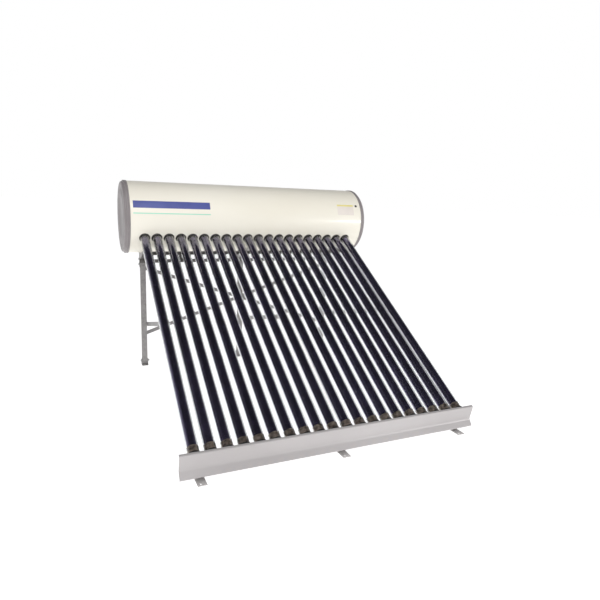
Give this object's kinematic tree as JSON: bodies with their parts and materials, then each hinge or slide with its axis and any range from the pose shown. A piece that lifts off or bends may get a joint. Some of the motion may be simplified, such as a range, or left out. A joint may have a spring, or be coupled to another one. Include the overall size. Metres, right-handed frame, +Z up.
{
  "type": "solar water heater",
  "caption": "Horizontal insulated tank on a steel frame with a sloping row of evacuated glass tubes running down to a folded bottom rail.",
  "frame": {"origin": "centre of the bounding box on the ground under the feet", "axes": "+X along the tank, to the right seen from the front; -Y towards the low end of the tubes, +Y towards the tank; +Z up"},
  "size_m": [1.804, 1.982, 1.3457],
  "materials": {
    "cream_coat": "satin cream powder coat",
    "cap_grey": "grey moulded plastic, satin",
    "foam": "rigid polyurethane foam",
    "stainless": "bare stainless steel",
    "tube_glass": "clear glass over a near-black selective coating",
    "steel_grey": "grey coated steel",
    "dark_steel": "dark grey coated steel",
    "rail_grey": "light grey coated steel",
    "zinc": "zinc-plated fastener"
  },
  "bodies": {
    "heater": {"tank_outer_shell": "cream_coat", "tank_insulation": "foam", "inner_tank": "stainless", "end_cap_left": "cap_grey", "end_cap_right": "cap_grey", "cold_water_inlet": "dark_steel", "hot_water_outlet": "stainless", "cross_brace_front": "steel_grey", "cross_brace_back": "steel_grey", "front_tie_rail": "dark_steel", "rear_tie_rail": "steel_grey", "bottom_rail": "rail_grey", "vacuum_tube_01": "tube_glass", "vacuum_tube_02": "tube_glass", "vacuum_tube_03": "tube_glass", "vacuum_tube_04": "tube_glass", "vacuum_tube_05": "tube_glass", "vacuum_tube_06": "tube_glass", "vacuum_tube_07": "tube_glass", "vacuum_tube_08": "tube_glass", "vacuum_tube_09": "tube_glass", "vacuum_tube_10": "tube_glass", "vacuum_tube_11": "tube_glass", "vacuum_tube_12": "tube_glass", "vacuum_tube_13": "tube_glass", "vacuum_tube_14": "tube_glass", "vacuum_tube_15": "tube_glass", "vacuum_tube_16": "tube_glass", "vacuum_tube_17": "tube_glass", "vacuum_tube_18": "tube_glass", "vacuum_tube_19": "tube_glass", "vacuum_tube_20": "tube_glass", "tank_cradle_left": "steel_grey", "inclined_leg_left": "steel_grey", "rear_leg_left": "steel_grey", "side_strut_left": "steel_grey", "rail_bracket_left": "steel_grey", "front_foot_bolt_left": "zinc", "rear_foot_bolt_left": "zinc", "tank_cradle_mid": "steel_grey", "inclined_leg_mid": "steel_grey", "rear_leg_mid": "steel_grey", "side_strut_mid": "steel_grey", "rail_bracket_mid": "steel_grey", "front_foot_bolt_mid": "zinc", "rear_foot_bolt_mid": "zinc", "tank_cradle_right": "steel_grey", "inclined_leg_right": "steel_grey", "rear_leg_right": "steel_grey", "side_strut_right": "steel_grey", "rail_bracket_right": "steel_grey", "front_foot_bolt_right": "zinc", "rear_foot_bolt_right": "zinc"},
    "front_foot_left": {"front_foot_left": "rail_grey"},
    "front_foot_mid": {"front_foot_mid": "rail_grey"},
    "front_foot_right": {"front_foot_right": "rail_grey"},
    "rear_foot_left": {"rear_foot_left": "steel_grey"},
    "rear_foot_mid": {"rear_foot_mid": "steel_grey"},
    "rear_foot_right": {"rear_foot_right": "steel_grey"}
  },
  "joints": [
    {"name": "front_foot_left_swivel", "type": "hinge", "parent": "heater", "child": "front_foot_left", "pos_m": [-0.753, -0.90973, 0.036], "axis": [1, 0, 0], "range_deg": [-18, 30]},
    {"name": "front_foot_mid_swivel", "type": "hinge", "parent": "heater", "child": "front_foot_mid", "pos_m": [-0.015, -0.90973, 0.036], "axis": [1, 0, 0], "range_deg": [-18, 30]},
    {"name": "front_foot_right_swivel", "type": "hinge", "parent": "heater", "child": "front_foot_right", "pos_m": [0.723, -0.90973, 0.036], "axis": [1, 0, 0], "range_deg": [-18, 30]},
    {"name": "rear_foot_left_swivel", "type": "hinge", "parent": "heater", "child": "rear_foot_left", "pos_m": [-0.753, 0.788, 0.03], "axis": [1, 0, 0], "range_deg": [-20, 20]},
    {"name": "rear_foot_mid_swivel", "type": "hinge", "parent": "heater", "child": "rear_foot_mid", "pos_m": [-0.015, 0.788, 0.03], "axis": [1, 0, 0], "range_deg": [-20, 20]},
    {"name": "rear_foot_right_swivel", "type": "hinge", "parent": "heater", "child": "rear_foot_right", "pos_m": [0.723, 0.788, 0.03], "axis": [1, 0, 0], "range_deg": [-20, 20]}
  ]
}
